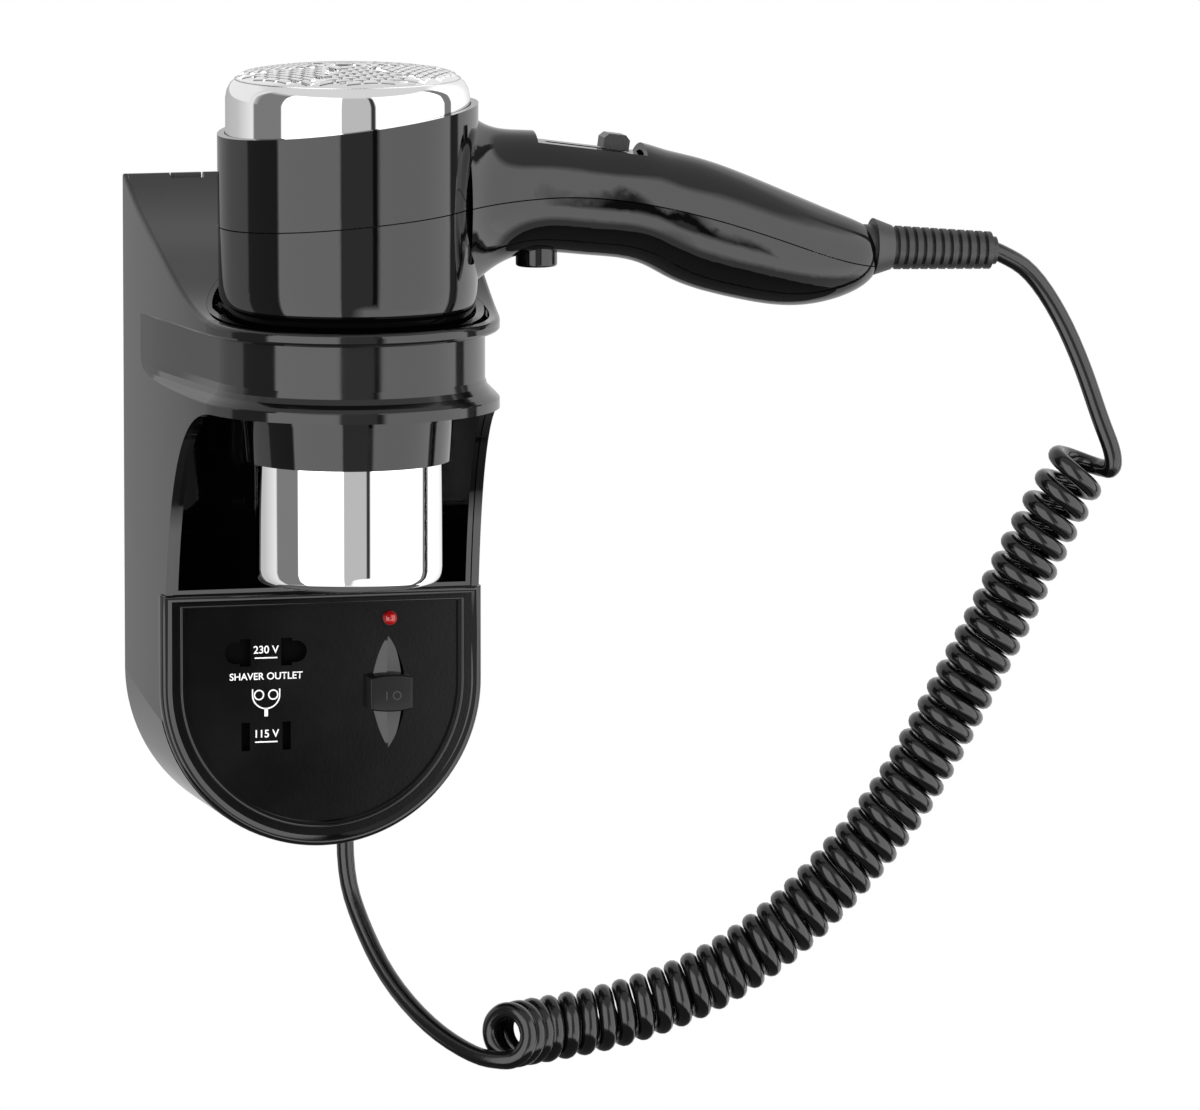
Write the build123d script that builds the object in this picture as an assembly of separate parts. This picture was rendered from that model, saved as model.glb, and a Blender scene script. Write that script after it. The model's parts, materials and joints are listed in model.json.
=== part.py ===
from build123d import *
import math
import os

# Wall-mounted hair dryer holder with shaver sockets, and the dryer that it holds on a curly cord.
# Units are millimetres. The origin is on the wall plane at the centre of the screw pattern,
# +Z is up, +X is to the right and the object stands out from the wall towards -Y.

# ---- driving dimensions: holder ----
HALF_WIDTH = 50.0
HOLDER_BOTTOM = -100.0
HOLDER_TOP = 102.5
WALL = 2.3
BODY_DEPTH = 52.5
U_CENTRE_Z = HOLDER_BOTTOM + HALF_WIDTH
SEAM_Z = -21.4
PANEL_CAP = 4.0
PLATE_THICKNESS = 3.0
SCREW_SPACING_X = 60.0
SCREW_SPACING_Z = 110.0
SCREW_HOLE_R = 2.25

# ---- driving dimensions: front panel ----
SOCKET_X = -17.1
ROUND_Z = -40.0
FLAT_Z = -65.7
ROUND_HALF = 8.8
FLAT_HALF = 6.35
LAMP_X = 21.3
LAMP_Z = -30.7
SWITCH_X = 20.9
SWITCH_Z = -53.3
SWITCH_HALF = 17.4
SWITCH_HALF_WIDTH = 5.4

# ---- driving dimensions: ring ----
AXIS_DEPTH = 89.0
RING_R = 45.4
WAIST_R = 41.0
LIP_BOTTOM_Z = 38.8
WELL_FLOOR_Z = 62.9
RIM_ROUND = 1.3
# sections through the two lips: height, and share of the step from the waist (0) out to the lip (1)
LOWER_LIP = [(41.0, 1.0), (42.0, 0.9), (43.0, 0.68), (44.2, 0.38), (45.8, 0.13), (47.8, 0.0)]
UPPER_LIP = [(61.2, 0.0), (61.6, 0.55), (62.2, 0.82), (63.0, 0.96), (63.8, 1.0)]
LIP_HOLLOW = [(41.0, 1.0), (46.0, 0.0), (63.0, 0.0), (64.0, 1.0)]
# side view of the arch over the recess: depth from the wall and height
ARCH = [(52.5, -29.0), (57.0, 10.0), (69.0, 37.5), (99.0, 38.8)]
WELL_R = 40.7
BORE_R = 33.1
RING_JOIN_ANGLE = 8.0

# ---- driving dimensions: dryer ----
SHELL_WALL = 2.2
BARREL_R = 39.1
SLEEVE_TOP_R = 31.6
SLEEVE_LOW_R = 30.5
SLEEVE_LOW_Z = 22.9
NOZZLE_TOP_R = 28.2
NOZZLE_LOW_R = 27.6
NOZZLE_LOW_Z = -14.0
CAP_R = 36.6
CAP_TOP_Z = 140.5
GRILLE_R = 34.2
RIM_MID_Z = 125.7
RIM_TILT = 6.9
SEAM_GAP = 0.35
NECK_Z = 60.05
BARREL_TOP_Z = 132.0
# shoulder of the barrel: radius, z
SHOULDER = [(31.5, 63.2), (36.0, 64.5), (38.6, 67.0), (38.8, 76.0)]
# handle stations: x, top, low, width
HANDLE = [
    (33.0, 130.0, 70.0, 46.0),
    (38.5, 125.2, 75.5, 39.0),
    (43.5, 122.3, 79.4, 35.5),
    (51.8, 120.9, 83.1, 33.5),
    (65.0, 119.6, 83.6, 33.0),
    (80.0, 117.4, 82.0, 33.0),
    (97.0, 114.1, 76.0, 33.5),
    (112.0, 109.9, 70.2, 34.0),
    (128.6, 103.3, 66.5, 33.5),
    (140.0, 98.3, 65.8, 31.0),
    (150.0, 94.0, 67.4, 26.0),
    (157.0, 91.0, 70.0, 21.0),
    (161.5, 88.6, 73.2, 15.0),
]
# seam between the half shells in the front view: x, z
SEAM = [
    (-60, 92.4), (-38, 93.8), (0, 97.2), (38, 100.3), (65, 101.9),
    (84.6, 99.9), (111.9, 93.3), (133.5, 86.0), (150, 80.3), (175, 77.0),
]
SLOT_TILT = 8.0
SADDLE_DROP = 1.7
BUTTON_X = 58.0
FAN_R = 30.0
SHAFT_R = 1.5
RELIEF_X = 158.0
RELIEF_END_X = 201.0
RELIEF_Z = 83.0
RELIEF_TILT = 3.1

# ---- driving dimensions: cord ----
WIRE_R = 2.7
COIL_R = 10.0
CORD_START = (203.0, -89.0, 79.8)
GROMMET_X = 13.0
GROMMET_Y = -26.0
# routes of the cord's centreline, corner by corner
UPPER_ROUTE = [CORD_START, (212.2, -89.0, 74.4), (221.5, -89.0, 60.5), (228.5, -89.0, 44.5), (235.0, -88.6, 28.5),
               (240.2, -88.2, 13.0)]
COIL_ROUTE = [(229.6, -88.8, 17.0), (220.6, -88.2, 2.4), (211.2, -87.2, -16.0), (202.6, -86.0, -34.0),
              (192.6, -84.8, -53.0), (182.8, -83.6, -71.6), (171.2, -82.4, -90.6), (154.4, -80.9, -110.6),
              (135.6, -79.5, -128.4), (112.6, -78.0, -142.8), (86.6, -76.6, -151.4), (59.0, -75.0, -153.6)]
LOWER_ROUTE = [(61.5, -74.0, -163.6), (46.6, -70.8, -164.0), (33.6, -60.0, -153.0), (24.0, -47.4, -139.0),
               (16.6, -33.6, -125.0), (GROMMET_X, GROMMET_Y, -112.8), (GROMMET_X, GROMMET_Y, -101.3)]

FRONT = Plane(origin=(0, 0, 0), x_dir=(1, 0, 0), z_dir=(0, -1, 0))
SIDE = Plane(origin=(0, 0, 0), x_dir=(0, -1, 0), z_dir=(-1, 0, 0))
PROFILE = Plane(origin=(0, -AXIS_DEPTH, 0), x_dir=(1, 0, 0), z_dir=(0, -1, 0))
AXIS = Axis((0, -AXIS_DEPTH, 0), (0, 0, 1))


# ---- small helpers ----
def block(x0, x1, y0, y1, z0, z1):
    """A box between two corners."""
    centre = Pos((x0 + x1) / 2, (y0 + y1) / 2, (z0 + z1) / 2)
    return centre * Box(abs(x1 - x0), abs(y1 - y0), abs(z1 - z0))


def post(x, y, z0, z1, r):
    """A cylinder along Z."""
    return Pos(x, y, (z0 + z1) / 2) * Cylinder(r, z1 - z0)


def rod_y(x, z, y0, y1, r):
    """A cylinder along Y."""
    return Pos(x, (y0 + y1) / 2, z) * Rot(90, 0, 0) * Cylinder(r, abs(y1 - y0))


def rod_x(x0, x1, y, z, r):
    """A cylinder along X."""
    return Pos((x0 + x1) / 2, y, z) * Rot(0, 90, 0) * Cylinder(r, x1 - x0)


def turned(*points):
    """A solid of revolution about the dryer's axis from (radius, z) points."""
    face = make_face(PROFILE * Polyline(*points, close=True))
    return revolve(face, AXIS)


def on_axis(z):
    return Pos(0, -AXIS_DEPTH, z)


def front_prism(sketch, depth_from, depth_to):
    """Extrude a front-view sketch between two depths from the wall."""
    return Pos(0, -depth_from, 0) * extrude(FRONT * sketch, depth_to - depth_from)


def side_prism(face, half_width):
    return extrude(face, half_width, both=True)


# ---- holder outline ----
def u_sketch(inset, top):
    """Front outline: straight sides and a round bottom."""
    r = HALF_WIDTH - inset
    straight = Pos(0, (top + U_CENTRE_Z) / 2) * Rectangle(2 * r, top - U_CENTRE_Z)
    outline = straight + Pos(0, U_CENTRE_Z) * Circle(r)
    return outline - Pos(0, top + HALF_WIDTH) * Rectangle(4 * HALF_WIDTH, 2 * HALF_WIDTH)


def plan_face(side_x, ring_r, handle, inset, z):
    """Plan outline: sides that run from the wall into the half circle of the ring."""
    a = math.radians(RING_JOIN_ANGLE)
    r = ring_r - inset
    join = (r * math.cos(a), -AXIS_DEPTH - r * math.sin(a), z)
    pull = (join[0] + handle * math.sin(a), join[1] + handle * math.cos(a), z)
    x = side_x - inset
    right = [(x, 2, z), (x, -30, z), pull, join]
    left = [(-p[0], p[1], z) for p in right]
    edges = [Bezier(*right), ThreePointArc(join, (0, -AXIS_DEPTH - r, z), left[-1]),
             Bezier(*reversed(left)), Line(left[0], right[0])]
    return make_face(Wire(edges))


def full_plan(inset, z):
    return plan_face(HALF_WIDTH, RING_R, 25.0, inset, z)


def lip_plan(share, inset, z):
    """Plan outline between the waist (share 0) and just outside the lips (share 1)."""
    side_x = HALF_WIDTH + 0.6 - 0.3 * share
    ring_r = WAIST_R + (RING_R + 0.3 - WAIST_R) * share
    return plan_face(side_x, ring_r, 45.0 - 20.0 * share, inset, z).face()


def ramp_points(drop, back):
    """The concave top surface in the side view, from the wall to the front of the ring."""
    line = [(0, HOLDER_TOP), (14, 95.2), (49, 81.8), (71, 73.0), (88, 68.0), (102, 66.2), (140, 65.6)]
    return [(back, line[0][1] - drop)] + [(d, z - drop) for d, z in line[1:]]


def outer_side_face():
    """Side view of the outside: wall, lower body, arch, ring lip and ramp."""
    ramp = [SIDE.from_local_coords((d, z)) for d, z in ramp_points(0, 0)]
    corner = [(0, -101), (BODY_DEPTH, -101), ARCH[0]]
    front = [ARCH[-1], (140, LIP_BOTTOM_Z), (140, 65.6)]
    world = lambda pts: [SIDE.from_local_coords(p) for p in pts]
    edges = [*Polyline(*world(corner)).edges(), Bezier(*world(ARCH)), *Polyline(*world(front)).edges(),
             Spline(*reversed(ramp)), Line(ramp[0], SIDE.from_local_coords((0, -101)))]
    return make_face(Wire(edges))


def inner_side_face(drop):
    """Side view of the hollow: everything under the ramp, open towards the front and the wall."""
    ramp = [SIDE.from_local_coords((d, z)) for d, z in ramp_points(drop, -1)]
    corner = [(-1, -101), (140, -101), (140, 65.6 - drop)]
    world = [SIDE.from_local_coords(p) for p in corner]
    edges = [*Polyline(*world).edges(), Spline(*reversed(ramp)), Line(ramp[0], world[0])]
    return make_face(Wire(edges))


def lip_stack(inset, sections):
    """The full plan below and above, joined through the sections of the lips and the waist."""
    faces = [lip_plan(share, inset, z) for z, share in sections]
    stack = extrude(lip_plan(1.0, inset, -110), 110 + sections[0][0])
    for low, high in zip(faces, faces[1:]):
        stack += loft([low, high], ruled=True)
    return stack + extrude(faces[-1], 120 - sections[-1][0])


def holder_outside():
    plan = extrude(full_plan(0, -102), 210)
    form = plan & side_prism(outer_side_face(), 60) & front_prism(u_sketch(0, 120), -3, 150)
    form = form & block(-60, 60, 0, -150, -102, 120)
    return form & lip_stack(0, LOWER_LIP + UPPER_LIP)


def holder_inside():
    plan = extrude(full_plan(WALL, -102), 210)
    form = plan & side_prism(inner_side_face(WALL + 0.3), 60) & front_prism(u_sketch(WALL, 120), -3, 150)
    return form & lip_stack(WALL, LIP_HOLLOW)


def round_rim(form):
    """Round the edge where the sides and the ring's front meet the ramp."""
    ramp = [face for face in form.faces() if face.area > 3000 and face.normal_at().Z > 0.5]
    edges = [edge for face in ramp for edge in face.edges() if abs(edge.center().X) > 1]
    return fillet(edges, RIM_ROUND)


OUTSIDE = round_rim(holder_outside())


def build_holder_shell():
    shell = OUTSIDE - holder_inside()
    shell -= on_axis(WELL_FLOOR_Z + 30) * Cylinder(WELL_R + 1.6, 60)
    shell -= block(-60, 60, -(BODY_DEPTH - PANEL_CAP), -80, -102, SEAM_Z)
    for side in (-1, 1):
        shell -= block(side * 30.5 - 5.25, side * 30.5 + 5.25, 1, -4.2, 97.0, 104)
    shell -= post(GROMMET_X, GROMMET_Y, -102, -90, 4.1)
    return shell


def build_wall_plate():
    plate = front_prism(u_sketch(WALL + 0.2, 96), 0, PLATE_THICKNESS)
    rim = front_prism(u_sketch(WALL + 0.2, 96) - u_sketch(WALL + 2.0, 94.2), PLATE_THICKNESS, 8)
    plate = plate + (rim & block(-60, 60, 0, -8, -102, 90))
    for side in (-1, 1):
        tab = block(side * 30.5 - 4.6, side * 30.5 + 4.6, 0, -2.0, 94, 101.4)
        rib = rod_x(side * 30.5 - 3.6, side * 30.5 + 3.6, -2.0, 99.0, 1.0)
        plate = plate + tab + rib
    for x in (-SCREW_SPACING_X / 2, SCREW_SPACING_X / 2):
        for z in (-SCREW_SPACING_Z / 2, SCREW_SPACING_Z / 2):
            plate -= rod_y(x, z, 1, -10, SCREW_HOLE_R)
    plate -= block(-14, 14, 1, -10, 18, 42)
    return plate


def build_cradle():
    """The cup and bore inside the ring that the dryer sits in, closed below by a flange."""
    cup = turned((WELL_R, 110), (WELL_R, 69), (BORE_R, 62), (BORE_R, LIP_BOTTOM_Z),
                 (RING_R - WALL - 0.2, LIP_BOTTOM_Z), (RING_R - WALL - 0.2, LIP_BOTTOM_Z + 2),
                 (BORE_R + 1.8, LIP_BOTTOM_Z + 2), (BORE_R + 1.8, 61.3),
                 (WELL_R + 1.5, 68.2), (WELL_R + 1.5, 110))
    return cup & OUTSIDE


# ---- recess ----
def recess_face(grow, front):
    """Side view of the niche: upright back, then a sweep forwards to the seam."""
    top = LIP_BOTTOM_Z - 2.0 + grow
    floor = SEAM_Z + 1.3 - grow
    back = 13.0 - grow
    pts = [(front, floor), (front, top), (back, top), (back, 2)]
    sweep = [(back, 2), (back + 1, floor + 6), (BODY_DEPTH - 16, floor), (BODY_DEPTH - 2, floor)]
    world = lambda points: [SIDE.from_local_coords(p) for p in points]
    edges = [*Polyline(*world(pts)).edges(), Bezier(*world(sweep)), Line(*world([sweep[-1], pts[0]]))]
    return make_face(Wire(edges))


def build_recess_liner():
    skin = 1.6
    outer = side_prism(recess_face(skin, 84), 60) & extrude(full_plan(WALL + 0.15, -30), 80)
    hollow = side_prism(recess_face(0, 150), 60) & extrude(full_plan(WALL + 1.7, -30), 80)
    liner = (outer & (Pos(0, 0.8, 0) * OUTSIDE)) - hollow
    liner -= on_axis(30) * Cylinder(BORE_R + 2.2, 30)
    return liner & block(-60, 60, 0, -80, SEAM_Z + 0.05, LIP_BOTTOM_Z - 0.1)


# ---- front panel ----

def pointed_oval(half_length, half_width):
    """Two arcs that meet in a point above and below."""
    right = ThreePointArc((0, -half_length), (half_width, 0), (0, half_length))
    left = ThreePointArc((0, half_length), (-half_width, 0), (0, -half_length))
    return make_face(Wire([right, left]))


def round_socket_hole(side):
    """A half-round hole with a taller flat slot at its inner end."""
    centre = SOCKET_X + side * ROUND_HALF
    barrel = Pos(centre + side * 0.6, ROUND_Z) * Circle(3.3)
    blade = Pos(centre - side * 2.4, ROUND_Z) * Rectangle(3.4, 8.4)
    link = Pos(centre - side * 0.6, ROUND_Z) * Rectangle(3.0, 6.6)
    return barrel + blade + link


def flat_socket_hole(side):
    return Pos(SOCKET_X + side * FLAT_HALF, FLAT_Z) * Rectangle(2.6, 8.6)


def build_front_panel():
    back = BODY_DEPTH - PANEL_CAP
    top = SEAM_Z - 0.2
    panel = front_prism(u_sketch(0.2, top), back + 0.1, BODY_DEPTH)
    rim = panel.faces().sort_by(Axis.Y)[0].edges().filter_by(lambda e: e.center().Z < top - 1)
    panel = fillet(rim, 1.6)
    panel -= front_prism(u_sketch(7.6, SEAM_Z - 4.4), BODY_DEPTH - 1.5, BODY_DEPTH + 1)
    frame = u_sketch(5.6, SEAM_Z - 2.6) - u_sketch(6.9, SEAM_Z - 3.9)
    bead = front_prism(frame, BODY_DEPTH - 1, BODY_DEPTH + 0.5)
    panel += bead
    face = BODY_DEPTH - 1.5
    recess = Pos(SWITCH_X, SWITCH_Z) * pointed_oval(SWITCH_HALF, SWITCH_HALF_WIDTH)
    panel -= front_prism(recess, face - 1.6, 60)
    panel -= front_prism(Pos(SWITCH_X, SWITCH_Z) * Rectangle(6.0, 22.0), 40, 60)
    for side in (-1, 1):
        panel -= front_prism(round_socket_hole(side), 40, 60)
        panel -= front_prism(flat_socket_hole(side), 40, 60)
    panel -= rod_y(LAMP_X, LAMP_Z, -40, -60, 2.3)
    return panel


# ---- holder insides ----
def build_lamp_lens():
    dome = rod_y(LAMP_X, LAMP_Z, -44, -BODY_DEPTH + 1.0, 2.2)
    cap = Pos(LAMP_X, -BODY_DEPTH + 1.0, LAMP_Z) * Sphere(2.2)
    flange = rod_y(LAMP_X, LAMP_Z, -47.2, -48.5, 3.0)
    return dome + (cap & block(LAMP_X - 3, LAMP_X + 3, -60, -BODY_DEPTH + 1.0, LAMP_Z - 3, LAMP_Z + 3)) + flange


def build_lamp_holder():
    cup = rod_y(LAMP_X, LAMP_Z, -34, -47.0, 3.6)
    return cup - rod_y(LAMP_X, LAMP_Z, -44, -48, 2.3)


def build_socket_carrier():
    carrier = block(-34, -1, -37, -48.2, -72, -33)
    for side in (-1, 1):
        carrier -= front_prism(round_socket_hole(side), 36, 60)
        carrier -= front_prism(flat_socket_hole(side), 36, 60)
    return carrier


def build_round_contacts():
    """Two forked spring contacts behind the round-pin holes, each with a solder tail."""
    contacts = []
    for side in (-1, 1):
        x = SOCKET_X + side * (ROUND_HALF + 0.6)
        fork = rod_y(x, ROUND_Z, -40.2, -46, 3.2) - rod_y(x, ROUND_Z, -39, -47, 2.4)
        fork -= block(x - 0.6, x + 0.6, -39, -47, ROUND_Z, ROUND_Z + 5)
        tail = block(x - 1, x + 1, -36, -41, ROUND_Z - 3.1, ROUND_Z - 2.5)
        contacts.append(fork + tail)
    return contacts[0] + contacts[1]


def build_flat_contacts():
    contacts = []
    for side in (-1, 1):
        x = SOCKET_X + side * FLAT_HALF
        leaf = block(x + side * 0.7, x + side * 1.2, -36, -46.5, FLAT_Z - 3, FLAT_Z + 3)
        contacts.append(leaf)
    return contacts[0] + contacts[1]


def build_transformer_core():
    """E-I lamination stack with two windows for the coil."""
    core = block(-31, 3, -8, -32, -82, -50)
    for x in (-26, -9):
        core -= block(x, x + 7, -7, -33, -77, -55)
    return core


def build_transformer_coil():
    coil = block(-25.8, -2.2, -5, -35, -76.8, -55.2)
    return coil - block(-19, -9, -7.9, -32.1, -80, -50)


def build_panel_switch_body():
    return block(12, 29.5, -33, -45.4, -70, -37)


def build_panel_switch_knob():
    """A thumb piece, hollowed above and below for the finger, with a stem through the slot."""
    front = -BODY_DEPTH - 3.4
    thumb = block(SWITCH_X - 6.8, SWITCH_X + 6.8, -BODY_DEPTH + 1.3, front, SWITCH_Z - 5, SWITCH_Z + 5)
    thumb = fillet(thumb.edges().filter_by(Axis.Z).sort_by(Axis.Y)[:2], 1.0)
    thumb -= Pos(SWITCH_X, front - 9.6, SWITCH_Z + 3.2) * Rot(12, 0, 0) * Sphere(11)
    stem = block(SWITCH_X - 2.5, SWITCH_X + 2.5, -45.8, -BODY_DEPTH + 0.9, SWITCH_Z - 4, SWITCH_Z + 4)
    return thumb + stem


def build_terminal_block():
    terminal = block(18, 44, -3, -13, -34, -22)
    for k in range(4):
        x = 21.5 + 6.3 * k
        terminal -= rod_y(x, -28, -8, -14, 1.8)
        terminal += rod_y(x, -28, -7, -9.5, 1.7)
    return terminal


def build_grommet():
    """A flanged bush in the bottom wall, open down its middle for the cord."""
    bush = post(GROMMET_X, GROMMET_Y, -101.2, -94, 4.0) + post(GROMMET_X, GROMMET_Y, -94, -92.6, 5.4)
    return bush - post(GROMMET_X, GROMMET_Y, -98.5, -92, WIRE_R + 0.05)


def build_cord_clamp():
    bar = block(GROMMET_X - 9, GROMMET_X + 9, -23, -29, -90, -86)
    return bar - post(GROMMET_X, GROMMET_Y, -91, -85, WIRE_R)


def build_supply_leads():
    """Insulated wires between the terminals, the switch and the transformer, laid in the housing."""
    leads = []
    for k in range(3):
        x = 21.5 + 6.3 * k
        path = FilletPolyline((x, -10.6, -28), (x, -20 - 3 * k, -28), (x, -20 - 3 * k, -44),
                              (x - 6, -30 - k, -52), radius=2.4)
        section = Plane(origin=path @ 0, z_dir=path % 0) * Circle(0.9)
        leads.append(sweep(section, path))
    return leads[0] + leads[1] + leads[2]


def build_panel_screws():
    screws = []
    for x, z in ((-38, -30), (38, -34), (0, -90)):
        head = rod_y(x, z, -43.5, -45.5, 2.8)
        screws.append(head + rod_y(x, z, -45.5, -50.2, 1.3))
    return screws[0] + screws[1] + screws[2]


# ---- dryer outside ----

def barrel_solid(inset):
    """The barrel turned about the dryer's axis, rounded in to the neck."""
    curve = [(r - inset, z) for r, z in SHOULDER]
    top = [(38.95 - inset, 94.0), (BARREL_R - inset, BARREL_TOP_Z), (0, BARREL_TOP_Z)]
    side = Polyline(curve[-1], *top, (0, NECK_Z), (31.4 - inset, NECK_Z), curve[0])
    face = make_face(PROFILE * Wire([Bezier(*curve), *side.edges()]))
    return revolve(face, AXIS)


def handle_solid(inset):
    """The handle lofted through ellipses from inside the barrel to the cord end."""
    sections = []
    for x, top, low, width in HANDLE:
        station = Plane(origin=(x, -AXIS_DEPTH, (top + low) / 2), x_dir=(0, 1, 0), z_dir=(1, 0, 0))
        sections.append((station * Ellipse(width / 2 - inset, (top - low) / 2 - inset)).face())
    return loft(sections)


def above_seam(shift):
    """Everything above the seam between the two half shells."""
    place = lambda x, z: (x, 0, z + shift)
    curve = Spline(*[place(x, z) for x, z in SEAM])
    first, last = place(*SEAM[0]), place(*SEAM[-1])
    lid = Polyline(last, (last[0], 0, 160), (first[0], 0, 160), first)
    return extrude(make_face(Wire([curve, *lid.edges()])), 160, dir=(0, -1, 0))


def below_rim():
    """Everything below the tilted rim of the upper shell."""
    return on_axis(RIM_MID_Z) * Rot(0, -RIM_TILT, 0) * Pos(0, 0, -100) * Box(120, 120, 200)


OUTER_DRYER = (barrel_solid(0) & below_rim()) + handle_solid(0)
INNER_DRYER = barrel_solid(SHELL_WALL) + (handle_solid(SHELL_WALL) & block(30, 160.2, -150, 0, 0, 150))
NECK = on_axis(60) * Cylinder(SLEEVE_TOP_R - SHELL_WALL - 0.2, 4)
CASING = OUTER_DRYER - INNER_DRYER - NECK
SLOT_PLACE = Pos(74.0, -AXIS_DEPTH, 117.0) * Rot(0, SLOT_TILT, 0)
KNOB_PLACE = Pos(81.6, -AXIS_DEPTH, 114.2) * Rot(0, SLOT_TILT, 0)


def build_upper_shell():
    shell = CASING & above_seam(0)
    shell -= on_axis(135) * Cylinder(CAP_R + 0.2, 36)
    shell -= SLOT_PLACE * Pos(-0.5, 0, 10 - SADDLE_DROP) * Box(34, 60, 20)
    floor = SLOT_PLACE * Pos(-0.5, 0, -0.9 - SADDLE_DROP) * Box(37, 26, 1.8)
    shell += floor & handle_solid(0.6)
    shell -= SLOT_PLACE * Pos(0, 0, -SADDLE_DROP) * Box(26, 4.6, 6)
    return shell - rod_x(154, 166, -AXIS_DEPTH, RELIEF_Z, 7.15)


def build_lower_shell():
    shell = CASING - above_seam(-SEAM_GAP)
    shell -= post(BUTTON_X, -AXIS_DEPTH, 70, 92, 6.55)
    return shell - rod_x(154, 166, -AXIS_DEPTH, RELIEF_Z, 7.15)


def build_rear_cap():
    cap = turned((0, 112), (CAP_R, 112), (CAP_R, CAP_TOP_Z), (0, CAP_TOP_Z))
    cap = fillet(cap.edges().filter_by(GeomType.CIRCLE).sort_by(Axis.Z)[-1], 2.6)
    cap -= on_axis(120) * Cylinder(CAP_R - 1.8, 36)
    return cap - on_axis(138) * Cylinder(GRILLE_R - 1.2, 20)


def build_intake_grille():
    """A perforated disc: rings of slots that turn by half a pitch from ring to ring."""
    disc = on_axis(CAP_TOP_Z - 0.9) * Cylinder(GRILLE_R - 1.3, 1.8)
    slots = []
    for ring in range(1, 6):
        radius = 6.0 * ring
        count = 6 * ring
        for k in range(count):
            angle = 360 / count * (k + 0.5 * (ring % 2))
            slots.append(on_axis(CAP_TOP_Z) * Rot(0, 0, angle) * Pos(radius, 0, 0) * Box(2.2, 4.2, 6))
    return disc - slots


def build_lint_screen():
    screen = on_axis(CAP_TOP_Z - 3.2) * Cylinder(GRILLE_R - 0.4, 0.8)
    grid = [on_axis(CAP_TOP_Z - 3.2) * Rot(0, 0, 60 * k) * Pos(0, 19, 0) * Box(9, 22, 3) for k in range(6)]
    return screen - grid


def build_nozzle_sleeve():
    """The black sleeve that passes through the ring."""
    outside = [(SLEEVE_TOP_R, 60), (SLEEVE_TOP_R, 36), (SLEEVE_LOW_R, SLEEVE_LOW_Z)]
    socket = [(NOZZLE_TOP_R + 0.1, SLEEVE_LOW_Z), (NOZZLE_TOP_R + 0.1, 34)]
    bore = [(SLEEVE_TOP_R - SHELL_WALL, 34), (SLEEVE_TOP_R - SHELL_WALL, 60)]
    return turned(*outside, *socket, *bore)


def build_chrome_nozzle():
    wall = 1.2
    outside = [(NOZZLE_TOP_R, 33.8), (NOZZLE_TOP_R, SLEEVE_LOW_Z), (NOZZLE_LOW_R, NOZZLE_LOW_Z)]
    inside = [(r - wall, z) for r, z in reversed(outside)]
    return turned(*outside, *inside)


def build_outlet_grille():
    """A spoked guard across the air outlet."""
    z = 28.0
    guard = on_axis(z) * (Cylinder(26.8, 2) - Cylinder(25.4, 2)) + on_axis(z) * Cylinder(4, 2)
    guard += on_axis(z) * (Cylinder(15.6, 2) - Cylinder(14.4, 2))
    for k in range(4):
        guard += on_axis(z) * Rot(0, 0, 45 * k) * Box(52, 1.2, 2)
    return guard


def build_motor():
    can = on_axis(98) * Cylinder(13.5, 30) + on_axis(81.5) * Cylinder(5, 3)
    return can - on_axis(100) * Cylinder(SHAFT_R + 0.05, 40)


def build_motor_mount():
    """Stator tube with guide vanes that holds the motor on the axis."""
    tube = on_axis(97) * (Cylinder(15.2, 24) - Cylinder(13.6, 24))
    for k in range(6):
        tube += on_axis(95) * Rot(0, 0, 60 * k + 30) * Pos(24.5, 0, 0) * Rot(18, 0, 0) * Box(19.5, 1.2, 14)
    ring = on_axis(95) * (Cylinder(35.4, 18) - Cylinder(33.8, 18))
    return tube + ring


def build_fan():
    """Seven twisted blades on a hub, with the shaft that runs in the motor."""
    fan = on_axis(121) * Cylinder(8, 9) + on_axis(104) * Cylinder(SHAFT_R, 34)
    reach = on_axis(121) * (Cylinder(FAN_R, 20) - Cylinder(7.5, 20))
    for k in range(7):
        blade = on_axis(121) * Rot(0, 0, 360 / 7 * k) * Pos(18, 0, 0) * Rot(32, 0, 0) * Box(28, 13, 1.2)
        fan += blade & reach
    return fan


def build_fan_shroud():
    return on_axis(120) * (Cylinder(34.6, 14) - Cylinder(31.5, 14))


def build_heater_frame():
    """Two crossed mica boards that carry the heating wire."""
    boards = []
    for turn in (0, 90):
        board = on_axis(55) * Rot(0, 0, turn) * Box(48, 1.0, 46)
        boards.append(board)
    return boards[0] + boards[1]


def build_heater_coils():
    """Heating wire wound round the boards."""
    helix = Helix(pitch=7.0, height=38.5, radius=25.2)
    section = Plane(origin=helix @ 0, z_dir=helix % 0) * Circle(0.8)
    return on_axis(35) * sweep(section, helix, is_frenet=True)


def build_mica_tube():
    return on_axis(54) * (Cylinder(28.6, 36) - Cylinder(27.6, 36))


def build_thermostat():
    return on_axis(80) * Pos(19, 0, 0) * Box(8, 6, 1.6) + on_axis(81.4) * Pos(19, 0, 0) * Cylinder(2.4, 1.6)


# ---- dryer handle parts ----
def build_slide_knob():
    """Thumb slider: a thin stem in the tray's slot and a ribbed head that leans back."""
    stem = KNOB_PLACE * Pos(0, 0, -1.2) * Box(5.0, 3.6, 3.2)
    head = KNOB_PLACE * Pos(0, 0, 2.6) * Box(8.0, 7.4, 4.6)
    head = chamfer(head.edges().filter_by(Axis.Y).sort_by(Axis.Z)[-2:], 1.4)
    return stem + head


def build_slide_switch_body():
    return SLOT_PLACE * Pos(0, 0, -8.2) * Box(24, 10, 6.4)


def build_push_button():
    button = post(BUTTON_X, -AXIS_DEPTH, 79.7, 88.0, 6.25)
    button = fillet(button.edges().sort_by(Axis.Z)[0], 0.8)
    return button + post(BUTTON_X, -AXIS_DEPTH, 88.0, 90.0, 5.0) + post(BUTTON_X, -AXIS_DEPTH, 88.8, 90.0, 7.4)


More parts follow.
